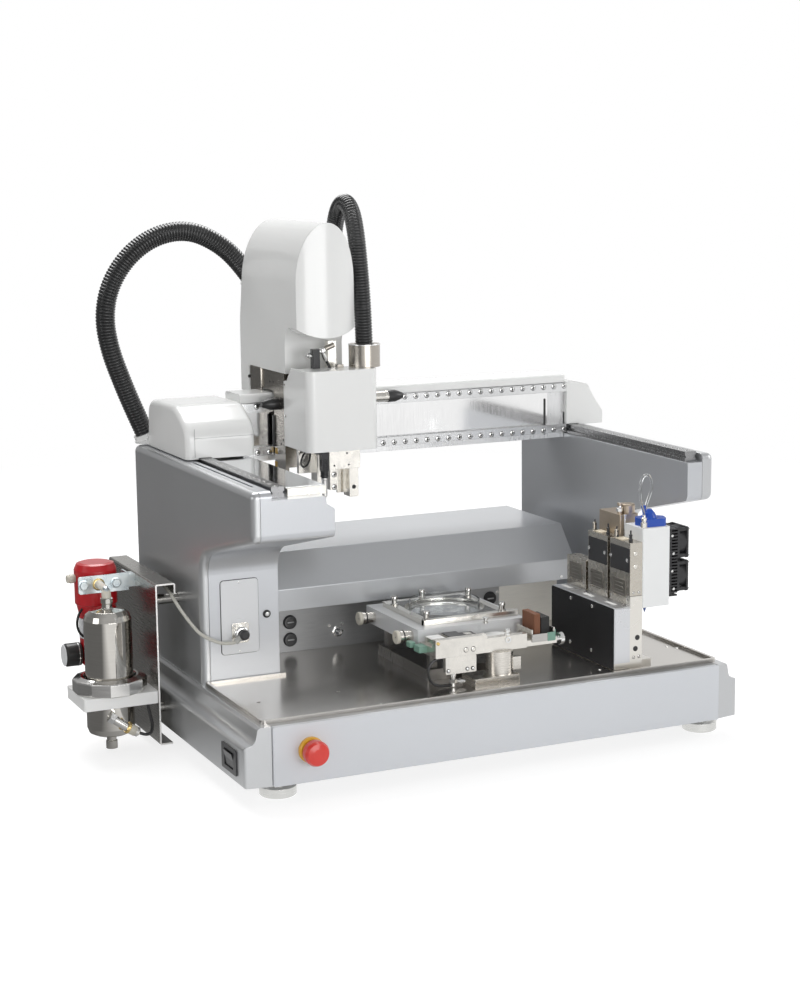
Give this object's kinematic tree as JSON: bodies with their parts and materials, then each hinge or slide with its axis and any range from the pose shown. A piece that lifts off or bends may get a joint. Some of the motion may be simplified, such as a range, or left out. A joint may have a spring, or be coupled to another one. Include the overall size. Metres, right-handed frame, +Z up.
{
  "type": "bioprinter",
  "caption": "Benchtop gantry bioprinter with a travelling print head, a sample platform with a dish, a magazine of parked tools and a side-mounted air filter set.",
  "frame": {"origin": "middle of the bounding box at the bench plane, under the four feet", "axes": "+Z up, -Y towards the front panel, +X to the machine's right as seen from the front"},
  "size_m": [0.9716, 0.6254, 0.8537],
  "materials": {
    "white_paint": "gloss",
    "silver_paint": "satin",
    "panel_paint": "satin",
    "stainless": "brushed",
    "nickel_plate": "satin",
    "polished_steel": "polished",
    "rail_steel": "ground",
    "aluminium": "satin",
    "black_aluminium": "anodised",
    "black_plastic": "matte",
    "hose_black": "ribbed",
    "red_plastic": "gloss",
    "yellow_plastic": "satin",
    "red_paint": "gloss",
    "white_polymer": "matte",
    "clear_polystyrene": "clear",
    "bronze": "satin",
    "cable_grey": "matte",
    "zinc_steel": "zinc plated"
  },
  "bodies": {
    "base": {"levelling_feet": "polished_steel", "base_chassis": "silver_paint", "front_panel": "panel_paint", "side_cover_left": "silver_paint", "side_cover_right": "silver_paint", "column_left": "silver_paint", "column_right": "silver_paint", "deck_tray": "stainless", "rear_housing": "silver_paint", "rear_panels": "stainless", "arm_rails": "rail_steel", "switch_bezel": "black_plastic", "estop_collar": "yellow_plastic", "connector_plate": "panel_paint", "filter_bracket": "stainless", "filter_block": "white_polymer", "filter_clamp": "aluminium", "filter_housing": "polished_steel", "filter_bowl": "polished_steel", "regulator_body": "red_paint", "filter_fittings": "zinc_steel", "platform_plinth": "black_aluminium", "platform_tray": "white_polymer", "clamp_frame": "nickel_plate", "platform_bar": "nickel_plate", "fluid_couplers": "white_polymer", "platform_modules": "black_plastic", "purge_cup": "nickel_plate", "tool_magazine": "nickel_plate", "sensor_cable": "cable_grey", "drain_cable": "black_plastic"},
    "gantry": {"gantry_beam": "aluminium", "beam_rails": "rail_steel", "beam_window": "stainless", "beam_cover": "white_paint", "gantry_hood": "white_paint", "gantry_endcap": "white_paint", "rail_runners": "rail_steel", "long_hose": "hose_black"},
    "carriage": {"carriage_frame": "nickel_plate", "tall_cover": "white_paint", "short_hose": "hose_black"},
    "head": {"head_cover": "white_paint", "head_slide": "nickel_plate", "head_fittings": "polished_steel", "touch_probe": "black_plastic"},
    "front_tool": {"adapter_front": "nickel_plate", "cooled_tool": "white_polymer", "tool_heatsink": "black_aluminium"},
    "fan_low": {"fan_rotor_low": "black_plastic"},
    "fan_high": {"fan_rotor_high": "black_plastic"},
    "middle_tool": {"adapter_middle": "nickel_plate", "heated_tool": "bronze"},
    "rear_tool": {"adapter_rear": "nickel_plate"},
    "dish": {"petri_dish": "clear_polystyrene"},
    "stop_button": {"estop_button": "red_plastic"},
    "rocker": {"switch_rocker": "black_plastic"},
    "toggle": {"toggle_lever": "polished_steel"},
    "pressure_knob": {"regulator_knob": "black_plastic"},
    "bar_knob": {"platform_knob": "white_polymer"}
  },
  "joints": [
    {"name": "gantry_y", "type": "slide", "parent": "base", "child": "gantry", "axis": [0, -1, 0], "range_m": [0, 0.23]},
    {"name": "carriage_x", "type": "slide", "parent": "gantry", "child": "carriage", "axis": [1, 0, 0], "range_m": [-0.025, 0.29], "deforming": ["long_hose"]},
    {"name": "head_z", "type": "slide", "parent": "carriage", "child": "head", "axis": [0, 0, -1], "range_m": [0, 0.14], "deforming": ["short_hose"]},
    {"name": "front_tool_lift", "type": "slide", "parent": "base", "child": "front_tool", "axis": [0, 0, 1], "range_m": [0, 0.025]},
    {"name": "middle_tool_lift", "type": "slide", "parent": "base", "child": "middle_tool", "axis": [0, 0, 1], "range_m": [0, 0.04]},
    {"name": "rear_tool_lift", "type": "slide", "parent": "base", "child": "rear_tool", "axis": [0, 0, 1], "range_m": [0, 0.04]},
    {"name": "fan_low_spin", "type": "hinge", "parent": "front_tool", "child": "fan_low", "pos_m": [0.3988, -0.2177, 0.2595], "axis": [1, 0, 0], "continuous": true},
    {"name": "fan_high_spin", "type": "hinge", "parent": "front_tool", "child": "fan_high", "pos_m": [0.3988, -0.2177, 0.3125], "axis": [1, 0, 0], "continuous": true},
    {"name": "dish_lift", "type": "slide", "parent": "base", "child": "dish", "axis": [0, 0, 1], "range_m": [0, 0.016]},
    {"name": "stop_press", "type": "slide", "parent": "base", "child": "stop_button", "axis": [0, 1, 0], "range_m": [0, 0.005]},
    {"name": "rocker_tilt", "type": "hinge", "parent": "base", "child": "rocker", "pos_m": [-0.3402, -0.2112, 0.061], "axis": [0, 1, 0], "range_deg": [0, 10]},
    {"name": "toggle_tilt", "type": "hinge", "parent": "base", "child": "toggle", "pos_m": [-0.0394, 0.1093, 0.1462], "axis": [1, 0, 0], "range_deg": [-12, 12]},
    {"name": "pressure_turn", "type": "hinge", "parent": "base", "child": "pressure_knob", "pos_m": [-0.4592, 0.1788, 0.14], "axis": [1, 0, 0], "range_deg": [-150, 150]},
    {"name": "bar_knob_turn", "type": "hinge", "parent": "base", "child": "bar_knob", "pos_m": [0.1958, -0.2097, 0.1758], "axis": [1, 0, 0], "range_deg": [-170, 170]}
  ]
}
